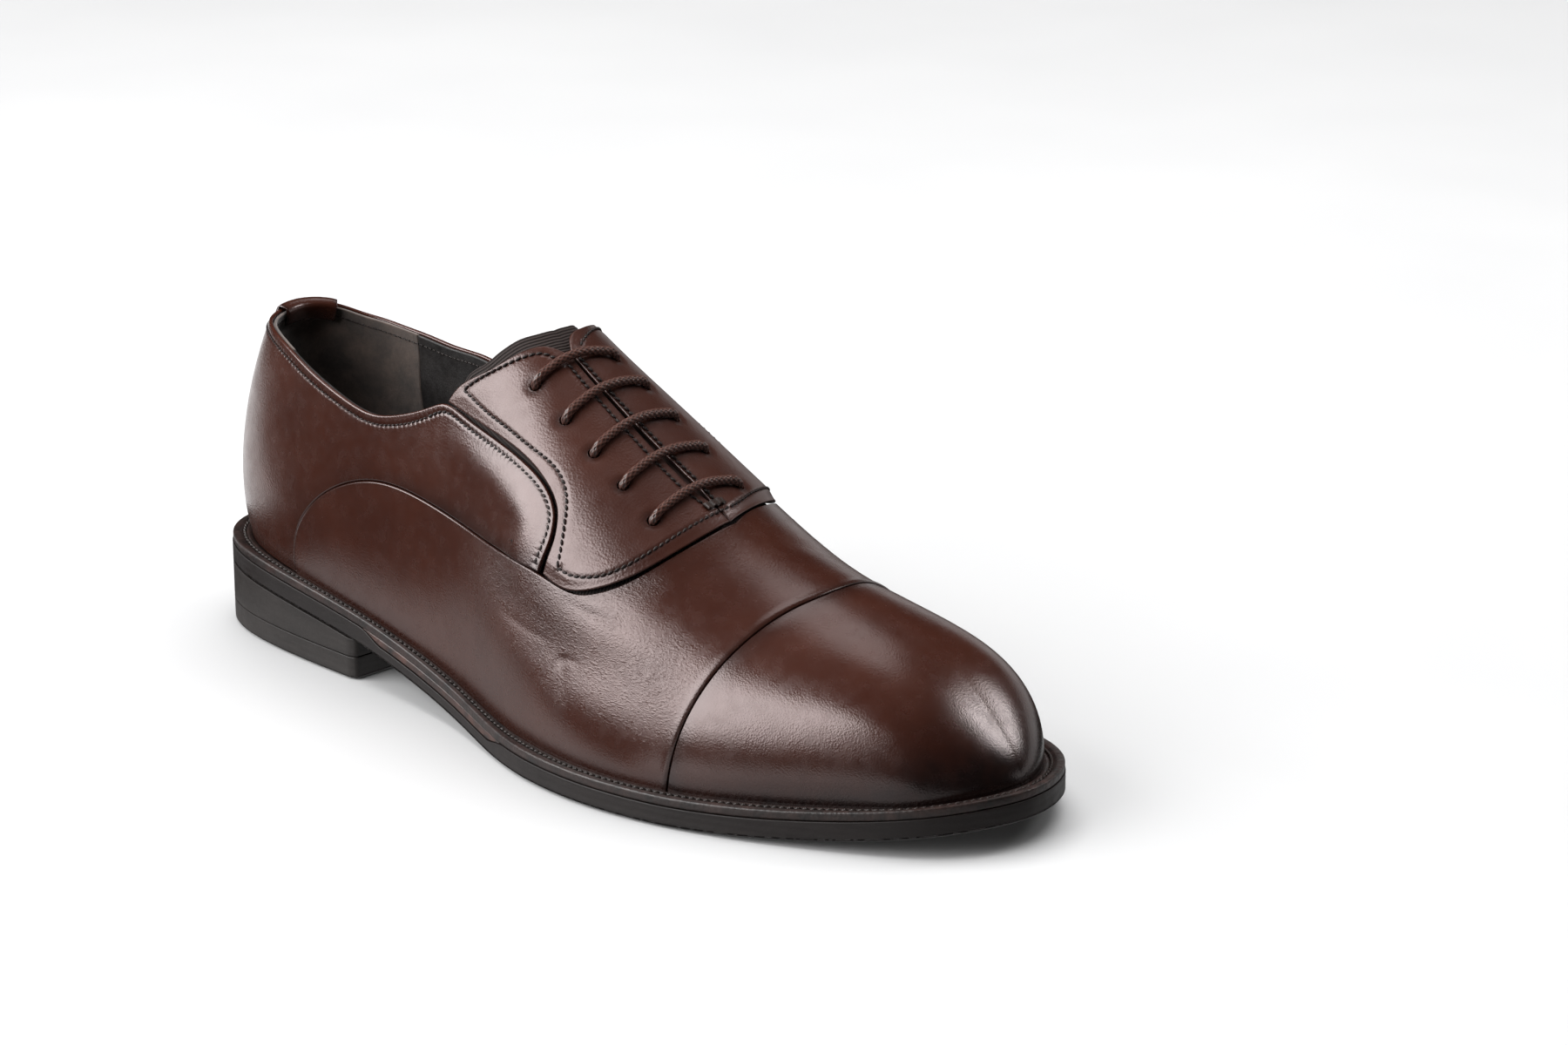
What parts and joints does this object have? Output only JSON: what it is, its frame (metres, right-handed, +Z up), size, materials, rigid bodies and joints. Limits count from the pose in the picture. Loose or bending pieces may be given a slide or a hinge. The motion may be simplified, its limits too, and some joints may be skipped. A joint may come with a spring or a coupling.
{
  "type": "leather oxford shoe",
  "caption": "Low leather dress shoe with toe cap, laced panel on an elastic gusset, stitched welt and rubber heel, for the right foot.",
  "frame": {"origin": "centre of the bounding box on the ground plane the shoe stands on", "axes": "+X from the heel to the toe, +Y towards the inner side of the foot, +Z up"},
  "size_m": [0.302, 0.1095, 0.1108],
  "materials": {
    "toe_cap": "smooth calf, burnished, semi-gloss",
    "vamp": "smooth calf, burnished, semi-gloss",
    "quarter_outer": "smooth calf, burnished, semi-gloss",
    "quarter_inner": "smooth calf, burnished, semi-gloss",
    "facing_outer": "smooth calf, burnished, semi-gloss",
    "facing_inner": "smooth calf, burnished, semi-gloss",
    "heel_tab": "smooth calf, burnished, semi-gloss",
    "facing_lining": "dark brown, matt",
    "vamp_lining": "smooth black lining leather",
    "quarter_lining_outer": "smooth black lining leather",
    "quarter_lining_inner": "smooth black lining leather",
    "sock_liner": "smooth black lining leather",
    "heel_grip": "brown suede, mottled",
    "elastic_gusset": "ribbed woven elastic, dark brown",
    "lace_bar_1": "waxed round braid, brown",
    "lace_bar_2": "waxed round braid, brown",
    "lace_bar_3": "waxed round braid, brown",
    "lace_bar_4": "waxed round braid, brown",
    "lace_bar_5": "waxed round braid, brown",
    "bar_tack": "dense thread, brown",
    "outsole": "matt black rubber, fine moulded lines",
    "heel_block": "matt black rubber, fine moulded lines",
    "heel_top_lift": "matt black rubber, fine moulded lines",
    "welt": "black-brown, stitched all round",
    "waist_midsole": "dark brown, waxed edge",
    "insole_board": "pressed fibre board, matt",
    "cork_filler": "granulated cork, matt",
    "shank": "plain steel strip",
    "heel_nail_1": "plain steel nail",
    "heel_nail_2": "plain steel nail",
    "heel_nail_3": "plain steel nail",
    "heel_nail_4": "plain steel nail",
    "heel_pad": "foam under a cloth cover, dark",
    "heel_counter": "thermoplastic stiffener, matt",
    "toe_puff": "thermoplastic stiffener, matt"
  },
  "bodies": {
    "shoe": {"toe_cap": "toe_cap", "vamp": "vamp", "quarter_outer": "quarter_outer", "quarter_inner": "quarter_inner", "heel_tab": "heel_tab", "vamp_lining": "vamp_lining", "quarter_lining_outer": "quarter_lining_outer", "quarter_lining_inner": "quarter_lining_inner", "sock_liner": "sock_liner", "heel_grip": "heel_grip", "elastic_gusset": "elastic_gusset", "outsole": "outsole", "heel_block": "heel_block", "heel_top_lift": "heel_top_lift", "welt": "welt", "waist_midsole": "waist_midsole", "insole_board": "insole_board", "cork_filler": "cork_filler", "shank": "shank", "heel_nail_1": "heel_nail_1", "heel_nail_2": "heel_nail_2", "heel_nail_3": "heel_nail_3", "heel_nail_4": "heel_nail_4", "heel_pad": "heel_pad", "heel_counter": "heel_counter", "toe_puff": "toe_puff"},
    "lace_panel": {"facing_outer": "facing_outer", "facing_inner": "facing_inner", "facing_lining": "facing_lining", "bar_tack": "bar_tack", "lace_bar_1": "lace_bar_1", "lace_bar_2": "lace_bar_2", "lace_bar_3": "lace_bar_3", "lace_bar_4": "lace_bar_4", "lace_bar_5": "lace_bar_5"}
  },
  "joints": [
    {"name": "lace_panel_lift", "type": "hinge", "parent": "shoe", "child": "lace_panel", "pos_m": [0.0485, 0, 0.068], "axis": [0, 1, 0], "range_deg": [0, 12], "stiffness_Nm_per_rad": 0.4, "deforming": ["elastic_gusset"]}
  ]
}
